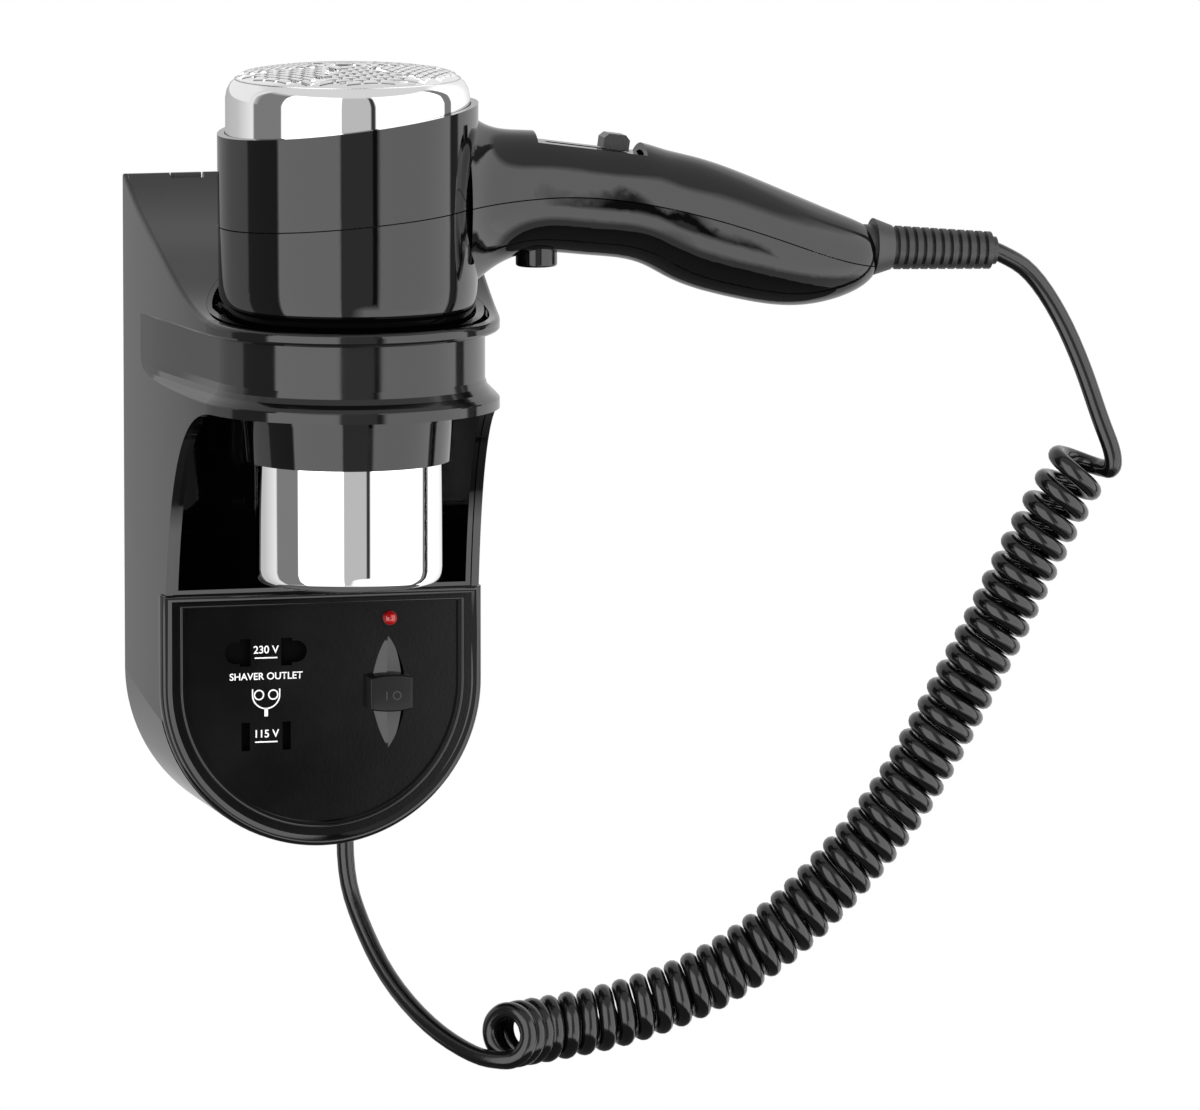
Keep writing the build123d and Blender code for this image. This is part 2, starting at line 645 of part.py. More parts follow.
def build_button_switch_body():
    return block(BUTTON_X - 9, BUTTON_X + 9, -AXIS_DEPTH - 6, -AXIS_DEPTH + 6, 95.4, 101)


def build_button_spring():
    helix = Helix(pitch=1.1, height=4.4, radius=4.0)
    section = Plane(origin=helix @ 0, z_dir=helix % 0) * Circle(0.4)
    return Pos(BUTTON_X, -AXIS_DEPTH, 90.5) * sweep(section, helix, is_frenet=True)


def build_strain_relief():
    """A collar and a run of ribs that narrows towards the cord."""
    length = RELIEF_END_X - RELIEF_X
    tilt = Pos(RELIEF_X, -AXIS_DEPTH, RELIEF_Z) * Rot(0, 90 + RELIEF_TILT, 0)
    core = tilt * Pos(0, 0, length / 2) * Cone(5.6, 4.2, length)
    collar = tilt * Pos(0, 0, 3.5) * Cylinder(6.75, 13.0)
    flare = tilt * Pos(0, 0, 7.2) * Cone(8.7, 6.75, 5.6)
    relief = core + collar + flare
    for k in range(11):
        along = 12.4 + 2.8 * k
        rib_r = 6.6 - 0.09 * k
        relief += tilt * Pos(0, 0, along) * Cylinder(rib_r, 1.6)
    return relief - tilt * Pos(0, 0, -2.0) * Cylinder(WIRE_R, 6)


def build_handle_cord_clamp():
    clamp = block(141, 149, -AXIS_DEPTH - 7, -AXIS_DEPTH + 7, RELIEF_Z - 5, RELIEF_Z + 5)
    return clamp - rod_x(140, 150, -AXIS_DEPTH, RELIEF_Z, WIRE_R)


def build_handle_cord_tail():
    """The cord's end inside the handle, through the clamp to the relief."""
    return rod_x(134, RELIEF_X - 3.2, -AXIS_DEPTH, RELIEF_Z, WIRE_R - 0.05)


def build_handle_screws():
    screws = []
    for x, z in ((100, 82.0), (124, 73.0)):
        screws.append(post(x, -AXIS_DEPTH, z, z + 2, 2.8) + post(x, -AXIS_DEPTH, z + 2, z + 14, 1.3))
    return screws[0] + screws[1]


# ---- cord ----

def corner_radii(route):
    """For each corner: 0.45 of the shorter run over the tangent of half the turn."""
    radii = []
    for before, corner, after in zip(route, route[1:], route[2:]):
        a = Vector(*corner) - Vector(*before)
        b = Vector(*after) - Vector(*corner)
        half_turn = math.radians(a.get_angle(b)) / 2
        radii.append(0.45 * min(a.length, b.length) / math.tan(half_turn))
    return radii


def tube(route, radius):
    radii = corner_radii(route)
    path = FilletPolyline(*route, radius=radii)
    section = Plane(origin=path @ 0, z_dir=path % 0) * Circle(radius)
    solid = sweep(section, path)
    expected = math.pi * radius ** 2 * path.length
    print("tube", [round(r) for r in radii], "length", round(path.length, 1), "volume ratio",
          round(solid.volume / expected, 4))
    return solid


BUILDERS = {
    "wall_plate": build_wall_plate,
    "holder_shell": build_holder_shell,
    "ring_cradle": build_cradle,
    "recess_liner": build_recess_liner,
    "front_panel": build_front_panel,
    "pilot_lamp_lens": build_lamp_lens,
    "pilot_lamp_holder": build_lamp_holder,
    "socket_carrier": build_socket_carrier,
    "round_pin_contacts": build_round_contacts,
    "flat_pin_contacts": build_flat_contacts,
    "transformer_core": build_transformer_core,
    "transformer_coil": build_transformer_coil,
    "panel_switch_body": build_panel_switch_body,
    "panel_switch_knob": build_panel_switch_knob,
    "terminal_block": build_terminal_block,
    "supply_leads": build_supply_leads,
    "cord_grommet": build_grommet,
    "cord_clamp": build_cord_clamp,
    "panel_screws": build_panel_screws,
    "upper_shell": build_upper_shell,
    "lower_shell": build_lower_shell,
    "rear_cap": build_rear_cap,
    "intake_grille": build_intake_grille,
    "lint_screen": build_lint_screen,
    "nozzle_sleeve": build_nozzle_sleeve,
    "chrome_nozzle": build_chrome_nozzle,
    "outlet_grille": build_outlet_grille,
    "motor": build_motor,
    "motor_mount": build_motor_mount,
    "fan": build_fan,
    "fan_shroud": build_fan_shroud,
    "heater_frame": build_heater_frame,
    "heater_coils": build_heater_coils,
    "mica_tube": build_mica_tube,
    "thermostat": build_thermostat,
    "slide_switch_knob": build_slide_knob,
    "slide_switch_body": build_slide_switch_body,
    "push_button": build_push_button,
    "button_switch_body": build_button_switch_body,
    "button_spring": build_button_spring,
    "strain_relief": build_strain_relief,
    "handle_cord_clamp": build_handle_cord_clamp,
    "handle_cord_tail": build_handle_cord_tail,
    "handle_screws": build_handle_screws,
    "cord_upper_lead": lambda: tube(UPPER_ROUTE, WIRE_R),
    "cord_coil": lambda: tube(COIL_ROUTE, COIL_R),
    "cord_lower_lead": lambda: tube(LOWER_ROUTE, WIRE_R),
}

if __name__ == "__main__":
    os.makedirs("parts", exist_ok=True)
    for name, builder in BUILDERS.items():
        solid = builder()
        export_step(solid, f"parts/{name}.step")
        print(name, len(solid.solids()), round(sum(s.volume for s in solid.solids()) / 1000, 2))
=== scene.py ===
import json
import math

import bmesh
import bpy
from mathutils import Matrix, Vector


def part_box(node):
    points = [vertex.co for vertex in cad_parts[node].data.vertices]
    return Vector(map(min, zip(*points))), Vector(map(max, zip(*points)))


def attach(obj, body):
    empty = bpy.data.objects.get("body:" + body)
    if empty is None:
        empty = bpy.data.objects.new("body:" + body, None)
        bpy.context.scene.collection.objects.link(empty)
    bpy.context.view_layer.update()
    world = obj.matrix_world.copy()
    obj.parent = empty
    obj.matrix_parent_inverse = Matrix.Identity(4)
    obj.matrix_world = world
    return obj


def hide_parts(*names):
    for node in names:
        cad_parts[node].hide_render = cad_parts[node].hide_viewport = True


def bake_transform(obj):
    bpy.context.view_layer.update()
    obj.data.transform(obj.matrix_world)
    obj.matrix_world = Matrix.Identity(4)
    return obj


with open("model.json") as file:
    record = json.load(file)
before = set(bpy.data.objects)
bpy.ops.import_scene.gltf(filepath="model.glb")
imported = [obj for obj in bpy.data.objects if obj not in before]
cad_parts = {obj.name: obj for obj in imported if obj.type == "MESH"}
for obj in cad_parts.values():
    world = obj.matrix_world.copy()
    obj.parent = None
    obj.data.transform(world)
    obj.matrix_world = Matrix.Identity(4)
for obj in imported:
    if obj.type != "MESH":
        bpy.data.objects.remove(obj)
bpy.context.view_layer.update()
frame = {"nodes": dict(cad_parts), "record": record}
nodes = frame["nodes"]
scene = bpy.context.scene

MM = 0.001

# ---- places that come from the frame ----
BARREL_LOW, BARREL_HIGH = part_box("rear_cap")
AXIS = Vector(((BARREL_LOW.x + BARREL_HIGH.x) / 2, (BARREL_LOW.y + BARREL_HIGH.y) / 2, 0))
PANEL_LOW, PANEL_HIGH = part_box("front_panel")
KNOB_LOW, KNOB_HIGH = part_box("panel_switch_knob")
NOZZLE_LOW, NOZZLE_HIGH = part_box("chrome_nozzle")
PANEL_SINK = 2.0 * MM
PANEL_FACE = PANEL_LOW.y + PANEL_SINK

# ---- sizes of the pieces made here, in metres ----
WIRE = 0.0054
COIL_RADIUS = 7.3 * MM
TURNED_STEPS = 128
CHROME_EDGE = math.radians(50)

CAP_RADIUS = 36.6 * MM
CAP_INNER_RADIUS = 35.2 * MM
DISC_RADIUS = 33.5 * MM
NOZZLE_WALL = 3.5 * MM

WEDGES = 6
TILE_LINES = 12
TILE_PITCH = 5.2 * MM
TILE_LINE_GAP = 2.55 * MM
TILE_LENGTH = 4.2 * MM
TILE_WIDTH = 1.6 * MM
TILE_EDGE_GAP = 1.2 * MM
LONG_SLOT = 3.4 * MM
SHORT_SLOT = 2.6 * MM
SLOT_WIDTH = 0.42 * MM
SLOT_OFFSET = 1.28 * MM

PANEL_RADIUS = 50.0 * MM
PANEL_ROUND_Z = -50.0 * MM
RIM_STEP = 1.5 * MM
WELL_HALF_HEIGHT = 17.3 * MM
WELL_HALF_WIDTH = 5.4 * MM
WELL_DEPTH = 1.5 * MM
THUMB_HALF_WIDTH = 6.7 * MM
THUMB_HALF_HEIGHT = 4.9 * MM
THUMB_BOW = 0.7 * MM
THUMB_ROUND = 0.6 * MM

PRINT_FACE = PANEL_FACE - 0.06 * MM
SOCKETS_X = -17.1 * MM
STROKE = 0.4 * MM
RATING_SIZE = 3.3 * MM
CAPTION_SIZE = 3.0 * MM
HIGH_RATING_Z = -39.3 * MM
LOW_RATING_Z = -65.0 * MM
CAPTION_Z = -47.4 * MM
SHAVER_Z = -53.0 * MM
UNDERLINE_HALF = 3.5 * MM
UNDERLINE_DROP = 2.4 * MM


# ---- shader node groups ----
def new_group(name, inputs, outputs):
    """An empty shader node group with float or colour sockets."""
    group = bpy.data.node_groups.new(name, "ShaderNodeTree")
    for label, kind, value in inputs:
        socket = group.interface.new_socket(label, in_out="INPUT", socket_type=kind)
        socket.default_value = value
    for label, kind in outputs:
        group.interface.new_socket(label, in_out="OUTPUT", socket_type=kind)
    start = group.nodes.new("NodeGroupInput")
    end = group.nodes.new("NodeGroupOutput")
    return group, start, end


def add(tree, kind, **settings):
    """A new node of one kind with its settings."""
    node = tree.nodes.new(kind)
    for key, value in settings.items():
        setattr(node, key, value)
    return node


def math_node(tree, operation, a, b):
    """A Math node whose two inputs are sockets or plain numbers."""
    node = add(tree, "ShaderNodeMath", operation=operation)
    for socket, value in zip(node.inputs, (a, b)):
        if isinstance(value, (int, float)):
            socket.default_value = value
        else:
            tree.links.new(value, socket)
    return node.outputs[0]


def noise(tree, vector, scale, detail, roughness=0.5):
    """The value of a noise texture over the given coordinates."""
    node = add(tree, "ShaderNodeTexNoise")
    tree.links.new(vector, node.inputs["Vector"])
    if isinstance(scale, (int, float)):
        node.inputs["Scale"].default_value = scale
    else:
        tree.links.new(scale, node.inputs["Scale"])
    node.inputs["Detail"].default_value = detail
    node.inputs["Roughness"].default_value = roughness
    return node.outputs["Fac"]


def map_range(tree, value, low, high, to_low, to_high):
    """A value carried from one range to another and held at its ends."""
    node = add(tree, "ShaderNodeMapRange")
    for socket, v in zip(node.inputs, (value, low, high, to_low, to_high)):
        if isinstance(v, (int, float)):
            socket.default_value = v
        else:
            tree.links.new(v, socket)
    return node.outputs[0]


def make_moulded_group():
    """Moulded plastic: soft flow marks and a fine orange peel, with wiping haze in the gloss."""
    group, start, end = new_group(
        "moulded_skin",
        [("Peel Scale", "NodeSocketFloat", 900.0), ("Smooth", "NodeSocketFloat", 0.05),
         ("Rough", "NodeSocketFloat", 0.12), ("Dark", "NodeSocketColor", (0.01, 0.01, 0.01, 1)),
         ("Light", "NodeSocketColor", (0.02, 0.02, 0.02, 1))],
        [("Color", "NodeSocketColor"), ("Roughness", "NodeSocketFloat"), ("Height", "NodeSocketFloat")])
    place = add(group, "ShaderNodeTexCoord").outputs["Object"]
    haze = noise(group, place, 28.0, 5.0, 0.6)
    flow = noise(group, place, 9.0, 2.0)
    peel = noise(group, place, start.outputs["Peel Scale"], 2.0)
    roughness = map_range(group, haze, 0.35, 0.7, start.outputs["Smooth"], start.outputs["Rough"])
    mix = add(group, "ShaderNodeMix", data_type="RGBA")
    group.links.new(flow, mix.inputs["Factor"])
    group.links.new(start.outputs["Dark"], mix.inputs["A"])
    group.links.new(start.outputs["Light"], mix.inputs["B"])
    group.links.new(mix.outputs["Result"], end.inputs["Color"])
    group.links.new(roughness, end.inputs["Roughness"])
    group.links.new(peel, end.inputs["Height"])
    return group


def make_plated_group():
    """Plated or machined metal: faint haze, fine rub marks along one direction."""
    group, start, end = new_group(
        "metal_skin",
        [("Smooth", "NodeSocketFloat", 0.03), ("Rough", "NodeSocketFloat", 0.08),
         ("Rub Scale", "NodeSocketFloat", 300.0), ("Dark", "NodeSocketColor", (0.7, 0.7, 0.7, 1)),
         ("Light", "NodeSocketColor", (0.9, 0.9, 0.9, 1))],
        [("Color", "NodeSocketColor"), ("Roughness", "NodeSocketFloat"), ("Height", "NodeSocketFloat")])
    place = add(group, "ShaderNodeTexCoord").outputs["Object"]
    stretch = add(group, "ShaderNodeMapping")
    stretch.inputs["Scale"].default_value = (1.0, 1.0, 12.0)
    group.links.new(place, stretch.inputs["Vector"])
    haze = noise(group, place, 40.0, 4.0)
    rub = noise(group, stretch.outputs["Vector"], start.outputs["Rub Scale"], 3.0)
    roughness = map_range(group, haze, 0.35, 0.7, start.outputs["Smooth"], start.outputs["Rough"])
    mix = add(group, "ShaderNodeMix", data_type="RGBA")
    group.links.new(haze, mix.inputs["Factor"])
    group.links.new(start.outputs["Dark"], mix.inputs["A"])
    group.links.new(start.outputs["Light"], mix.inputs["B"])
    group.links.new(mix.outputs["Result"], end.inputs["Color"])
    group.links.new(roughness, end.inputs["Roughness"])
    group.links.new(rub, end.inputs["Height"])
    return group


MOULDED = make_moulded_group()
METAL = make_plated_group()


def grey(value):
    """A neutral colour."""
    return (value, value, value, 1)


def finish_with(name, group, values, bump_strength, bump_distance, **plain):
    """A material: one skin group into a Principled BSDF, with a bump from the group's height."""
    material = bpy.data.materials.new(name)
    material.use_nodes = True
    tree = material.node_tree
    shader = tree.nodes["Principled BSDF"]
    skin = add(tree, "ShaderNodeGroup", node_tree=group)
    for key, value in values.items():
        skin.inputs[key].default_value = value
    tree.links.new(skin.outputs["Color"], shader.inputs["Base Color"])
    tree.links.new(skin.outputs["Roughness"], shader.inputs["Roughness"])
    bump = add(tree, "ShaderNodeBump")
    bump.inputs["Strength"].default_value = bump_strength
    bump.inputs["Distance"].default_value = bump_distance
    tree.links.new(skin.outputs["Height"], bump.inputs["Height"])
    tree.links.new(bump.outputs["Normal"], shader.inputs["Normal"])
    for key, value in plain.items():
        shader.inputs[key.replace("_", " ")].default_value = value
    return material


def plastic(name, dark, light, smooth, rough, peel=900.0, strength=0.05, distance=0.00004, **plain):
    """A moulded plastic between two tones and two grades of gloss."""
    values = {"Dark": dark, "Light": light, "Smooth": smooth, "Rough": rough, "Peel Scale": peel}
    return finish_with(name, MOULDED, values, strength, distance, **plain)


def metal(name, dark, light, smooth, rough, rub=300.0, strength=0.04, distance=0.00002, **plain):
    """A plated or rubbed metal between two tones and two grades of gloss."""
    values = {"Dark": dark, "Light": light, "Smooth": smooth, "Rough": rough, "Rub Scale": rub}
    return finish_with(name, METAL, values, strength, distance, Metallic=1.0, **plain)


MATERIALS = {
    "holder_black": plastic("holder_black", grey(0.0025), grey(0.0045), 0.06, 0.12, IOR=1.5),
    "cradle_black": plastic("cradle_black", grey(0.001), grey(0.002), 0.10, 0.18, IOR=1.5),
    "recess_black": plastic("recess_black", grey(0.001), grey(0.002), 0.04, 0.08, IOR=1.5),
    "panel_black": plastic("panel_black", grey(0.0015), grey(0.003), 0.05, 0.09, IOR=1.5),
    "dryer_black": plastic("dryer_black", grey(0.0008), grey(0.0015), 0.02, 0.045, IOR=1.5),
    "housing_grey": plastic("housing_grey", grey(0.035), grey(0.05), 0.45, 0.6, 1400.0, 0.5, 0.0001),
    "carrier_white": plastic("carrier_white", (0.6, 0.58, 0.52, 1), (0.72, 0.7, 0.64, 1), 0.35, 0.5),
    "carrier_black": plastic("carrier_black", grey(0.004), grey(0.008), 0.5, 0.65),
    "winding_copper": plastic("winding_copper", (0.4, 0.13, 0.04, 1), (0.6, 0.25, 0.09, 1), 0.25, 0.4,
                              1800.0, 0.8, 0.0003),
    "switch_body": plastic("switch_body", grey(0.02), grey(0.035), 0.4, 0.55),
    "knob_black": plastic("knob_black", grey(0.002), grey(0.004), 0.28, 0.36, 2600.0, 0.25, 0.00004,
                          Specular_IOR_Level=0.22),
    # near-black with almost no specular: painted shade inside the socket holes, worn by the socket shutters
    "socket_painted_shade": plastic("socket_painted_shade", grey(0.0004), grey(0.0008), 0.6, 0.75, Specular_IOR_Level=0.04),
    "wire_blue": plastic("wire_blue", (0.03, 0.08, 0.4, 1), (0.05, 0.12, 0.5, 1), 0.3, 0.45),
    "grille_black": plastic("grille_black", grey(0.01), grey(0.02), 0.4, 0.55),
    "mount_plastic": plastic("mount_plastic", grey(0.08), grey(0.11), 0.4, 0.55),
    "fan_plastic": plastic("fan_plastic", grey(0.65), grey(0.75), 0.3, 0.45),
    "mica_board": plastic("mica_board", (0.5, 0.42, 0.28, 1), (0.68, 0.6, 0.45, 1), 0.25, 0.6,
                          500.0, 0.5, 0.0002),
    "slider_black": plastic("slider_black", grey(0.004), grey(0.008), 0.2, 0.28, 2400.0, 0.3, 0.00005),
    "button_black": plastic("button_black", grey(0.002), grey(0.003), 0.06, 0.12),
    "relief_rubber": plastic("relief_rubber", grey(0.014), grey(0.022), 0.38, 0.48, 2600.0, 0.5, 0.00006),
    "cord_black": plastic("cord_black", grey(0.0015), grey(0.003), 0.12, 0.2, 700.0, 0.2, 0.0001),
    "lamp_red": plastic("lamp_red", (0.22, 0.002, 0.003, 1), (0.34, 0.004, 0.005, 1), 0.03, 0.07,
                        Coat_Weight=0.3),
    "print_white": plastic("print_white", grey(0.72), grey(0.8), 0.45, 0.55),
    "contact_brass": metal("contact_brass", (0.6, 0.42, 0.18, 1), (0.8, 0.6, 0.3, 1), 0.15, 0.3),
    "core_steel": metal("core_steel", grey(0.2), grey(0.4), 0.35, 0.55, 900.0, 0.6, 0.0002),
    "screw_steel": metal("screw_steel", grey(0.5), grey(0.66), 0.2, 0.35),
    "cap_chrome": metal("cap_chrome", grey(0.88), grey(0.93), 0.015, 0.04, strength=0.01),
    "nozzle_chrome": metal("nozzle_chrome", grey(0.88), grey(0.93), 0.015, 0.04, strength=0.01),
    "screen_steel": metal("screen_steel", grey(0.4), grey(0.55), 0.3, 0.45),
    "motor_steel": metal("motor_steel", grey(0.4), grey(0.55), 0.25, 0.4),
    "heating_wire": metal("heating_wire", (0.35, 0.3, 0.27, 1), (0.5, 0.44, 0.4, 1), 0.35, 0.5),
    "thermostat_steel": metal("thermostat_steel", grey(0.55), grey(0.7), 0.2, 0.3),
    "spring_steel": metal("spring_steel", grey(0.5), grey(0.65), 0.15, 0.25),
}


def wear(piece, name):
    """Dresses a piece in one of the finishes."""
    piece.data.materials.clear()
    piece.data.materials.append(MATERIALS[name])


for part in frame["record"]["subparts"]:
    wear(nodes[part["node"]], part["material_slot"])


# ---- mesh helpers ----
def finish_piece(name, bm, material, body, smooth=True, sharp=math.radians(35)):
    """Turns a bmesh into a piece that rides on a body, shaded smooth with crisp edges."""
    bmesh.ops.remove_doubles(bm, verts=bm.verts, dist=1e-7)
    bmesh.ops.recalc_face_normals(bm, faces=bm.faces)
    mesh = bpy.data.meshes.new(name)
    bm.to_mesh(mesh)
    bm.free()
    piece = bpy.data.objects.new(name, mesh)
    scene.collection.objects.link(piece)
    for polygon in mesh.polygons:
        polygon.use_smooth = smooth
    if smooth:
        mesh.set_sharp_from_angle(angle=sharp)
    piece.data.materials.append(MATERIALS[material])
    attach(piece, body)
    return piece


def turn_profile(bm, profile, steps, centre=AXIS, closed=True):
    """Spins (radius, z) points about a vertical axis through centre."""
    verts = [bm.verts.new((centre.x + r, centre.y, z)) for r, z in profile]
    pairs = list(zip(verts, verts[1:] + verts[:1])) if closed else list(zip(verts, verts[1:]))
    edges = [bm.edges.new(pair) for pair in pairs]
    bmesh.ops.spin(bm, geom=verts + edges, cent=centre, axis=(0, 0, 1), angle=math.tau, steps=steps,
                   use_merge=True, use_duplicate=False)
    bmesh.ops.remove_doubles(bm, verts=bm.verts, dist=1e-7)


# ---- cord ----
# control points in millimetres, from the body to the coil, down the coil, and from the handle to the coil
LOWER_LEAD = [(13.0, -26.0, -101.3), (13.0, -26.0, -112.8), (15.6, -33.6, -126.0), (21.0, -47.4, -142.0),
              (30.5, -64.0, -155.0), (41.0, -80.0, -161.8)]
COIL_AXIS = [(229.6, -88.8, 17.0), (220.6, -88.2, 2.4), (211.2, -87.2, -16.0), (202.6, -86.0, -34.0),
             (192.6, -84.8, -53.0), (182.8, -83.6, -71.6), (171.2, -82.4, -90.6), (154.4, -80.9, -110.6),
             (135.6, -79.5, -128.4), (112.6, -78.0, -142.8), (86.6, -76.6, -151.4), (66.0, -76.0, -154.6),
             (55.5, -79.0, -155.2), (48.5, -87.0, -154.6)]
UPPER_LEAD = [(197.6, -89.0, 82.0), (203.0, -89.0, 79.8), (212.2, -89.0, 74.4), (221.5, -89.4, 60.5),
              (228.5, -90.2, 44.5), (233.6, -91.6, 28.5), (237.0, -93.0, 19.4), (237.7, -92.6, 14.6),
              (236.9, -91.2, 12.8)]
TURNS = 44
POINTS_PER_TURN = 16
CLOSE_PITCH = 5.7 * MM
OPEN_EXTRA = 2.8 * MM
OPEN_REACH = 24 * MM
AXIS_STEPS = 24
WIRE_STEPS = 4


def nurbs_curve(name, points, resolution, bevel=0.0):
    """One open NURBS spline of order 3 with points in metres as its control points."""
    curve = bpy.data.curves.new(name, "CURVE")
    curve.dimensions = "3D"
    curve.resolution_u = resolution
    curve.bevel_depth = bevel
    curve.bevel_resolution = 5
    spline = curve.splines.new("NURBS")
    spline.points.add(len(points) - 1)
    for point, place in zip(spline.points, points):
        point.co = (*place, 1)
    spline.order_u = 3
    spline.use_endpoint_u = True
    return bpy.data.objects.new(name, curve)


def line_of(points, resolution):
    """The points that a NURBS spline through these control points follows."""
    carrier = nurbs_curve("route", points, resolution)
    mesh = bpy.data.meshes.new_from_object(carrier)
    line = [v.co.copy() for v in mesh.vertices]
    bpy.data.objects.remove(carrier)
    return line


def metres(points):
    """Points in millimetres as vectors in metres."""
    return [Vector(p) * MM for p in points]


def helix_points():
    """Control points of the curly part: a left-handed helix round its axis, open at the handle end."""
    axis = line_of(metres(COIL_AXIS), AXIS_STEPS)
    lengths = [0.0]
    for a, b in zip(axis, axis[1:]):
        lengths.append(lengths[-1] + (b - a).length)
    pitch = [CLOSE_PITCH + OPEN_EXTRA * math.exp(-s / OPEN_REACH) for s in lengths]
    phase = [0.0]
    for k in range(1, len(axis)):
        phase.append(phase[-1] + (lengths[k] - lengths[k - 1]) / ((pitch[k] + pitch[k - 1]) / 2))
    stretch = TURNS / phase[-1]
    phase = [p * stretch for p in phase]
    shrink = math.cos(math.pi / POINTS_PER_TURN) ** 2
    radius = COIL_RADIUS / shrink
    points = []
    k = 0
    for step in range(TURNS * POINTS_PER_TURN + 1):
        turn = step / POINTS_PER_TURN
        while k < len(axis) - 2 and phase[k + 1] < turn:
            k += 1
        t = min(max((turn - phase[k]) / (phase[k + 1] - phase[k]), 0), 1)
        place = axis[k].lerp(axis[k + 1], t)
        ahead = axis[min(k + 2, len(axis) - 1)] - axis[max(k - 1, 0)]
        ahead.normalize()
        back = Vector((0, 1, 0))
        back = (back - ahead * back.dot(ahead)).normalized()
        outward = ahead.cross(back)
        angle = math.tau * turn
        points.append(place + radius * (math.cos(angle) * outward + math.sin(angle) * back))
    return points


def build_cord():
    """One wire from the body, through the coil, to the strain relief on the handle."""
    coil = helix_points()
    route = metres(LOWER_LEAD) + list(reversed(coil)) + list(reversed(metres(UPPER_LEAD)))
    path = line_of(route, WIRE_STEPS)
    carrier = nurbs_curve("carrier", route, WIRE_STEPS, WIRE / 2)
    carrier.data.use_fill_caps = True
    mesh = bpy.data.meshes.new_from_object(carrier)
    bpy.data.objects.remove(carrier)
    piece = bpy.data.objects.new("curly_cord", mesh)
    scene.collection.objects.link(piece)
    for polygon in mesh.polygons:
        polygon.use_smooth = True
    wear(piece, "cord_black")
    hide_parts("cord_upper_lead", "cord_coil", "cord_lower_lead")
    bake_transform(piece)
    return piece


build_cord()


# ---- rear cap and its patterned intake disc ----
# (radius, height) in millimetres down the dome and its shoulder
CAP_PROFILE = [(0.0, 141.1), (9.0, 140.9), (18.0, 140.4), (25.0, 139.8), (31.0, 138.9), (33.6, 137.6),
               (35.1, 136.3), (36.1, 134.4), (36.6, 132.0)]
CAP_TOP = 140.5 * MM
CAP_SHIFT = BARREL_HIGH.z - CAP_TOP


def cap_height(radius):
    """Height of the domed cap at a distance from its axis, in metres."""
    reach = radius / MM
    for (r0, z0), (r1, z1) in zip(CAP_PROFILE, CAP_PROFILE[1:]):
        if reach <= r1:
            return (z0 + (z1 - z0) * (reach - r0) / (r1 - r0)) * MM + CAP_SHIFT
    return CAP_PROFILE[-1][1] * MM + CAP_SHIFT


def build_cap():
    """A drawn chrome cup with a rounded shoulder, turned in one piece with its domed top."""
    bm = bmesh.new()
    dome = [(r * MM, z * MM + CAP_SHIFT) for r, z in CAP_PROFILE[1:]]
    outside = [(0.0, cap_height(0.0))] + dome + [(CAP_RADIUS, BARREL_LOW.z)]
    inside = [(CAP_INNER_RADIUS, BARREL_LOW.z), (CAP_INNER_RADIUS, 0.133), (0.031, 0.1365), (0.0, 0.1385)]
    turn_profile(bm, outside + inside, TURNED_STEPS, closed=False)
    return finish_piece("cap_shell", bm, "cap_chrome", "dryer", sharp=CHROME_EDGE)


def brick(bm, turn, along, row, length, width):
    """One small raised tile of the pattern, laid on the dome and drawn in at its top."""
    across = math.cos(turn)
    aside = math.sin(turn)
    ends = []
    for lift, draw in ((-0.0003, 0.0), (0.00035, 0.0), (0.0006, 0.00028)):
        ring = []
        for sx, sy in ((-1, -1), (1, -1), (1, 1), (-1, 1)):
            x = along + sx * (length / 2 - draw)
            y = row + sy * (width / 2 - draw)
            place = Vector((x * across - y * aside, x * aside + y * across, 0))
            place.z = cap_height(place.length) + lift
            ring.append(bm.verts.new(place + Vector((AXIS.x, AXIS.y, 0))))
        ends.append(ring)
    for low, high in zip(ends, ends[1:]):
        for k in range(4):
            bm.faces.new((low[k], low[(k + 1) % 4], high[(k + 1) % 4], high[k]))
    bm.faces.new(ends[-1])


def build_pattern():
    """Six wedges of brick-laid tiles; each wedge is turned by a sixth of a turn."""
    chrome = bmesh.new()
    dark = bmesh.new()
    for wedge in range(WEDGES):
        turn = math.tau * wedge / WEDGES
        for line in range(1, TILE_LINES + 1):
            row = line * TILE_LINE_GAP
            half = math.tan(math.pi / WEDGES) * row
            count = int(half * 2 / TILE_PITCH) + 2
            for k in range(-count, count + 1):
                along = (k + 0.5 * (line % 2)) * TILE_PITCH
                if abs(along) > half - TILE_EDGE_GAP or math.hypot(along, row) > DISC_RADIUS - 0.0022:
                    continue
                brick(chrome, turn, along, row, TILE_LENGTH, TILE_WIDTH)
                if line > 2 and math.hypot(along + TILE_PITCH / 2, row) < DISC_RADIUS - 0.0035:
                    slot = LONG_SLOT if (k + line) % 2 else SHORT_SLOT
                    brick(dark, turn, along, row + SLOT_OFFSET, slot, SLOT_WIDTH)
    finish_piece("intake_tiles", chrome, "cap_chrome", "dryer", smooth=False)
    finish_piece("intake_slots", dark, "screen_steel", "dryer", smooth=False)


cap = build_cap()
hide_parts("rear_cap", "intake_grille")
build_pattern()


# ---- chrome nozzle ----
def build_nozzle():
    """The bright metal nozzle: a turned tube whose lower edge rolls inwards."""
    radius = (NOZZLE_HIGH.x - NOZZLE_LOW.x) / 2
    edge = [(0.0, 5.0), (0.15, 3.2), (0.5, 1.9), (1.1, 0.9), (1.9, 0.3), (2.8, 0.0), (3.3, 0.2), (3.5, 0.8)]
    profile = [(radius, NOZZLE_HIGH.z)]
    profile += [(radius - inward * MM, NOZZLE_LOW.z + rise * MM) for inward, rise in edge]
    profile += [(radius - NOZZLE_WALL, NOZZLE_HIGH.z)]
    bm = bmesh.new()
    turn_profile(bm, profile[::-1], TURNED_STEPS)
    return finish_piece("nozzle_tube", bm, "nozzle_chrome", "dryer", sharp=CHROME_EDGE)


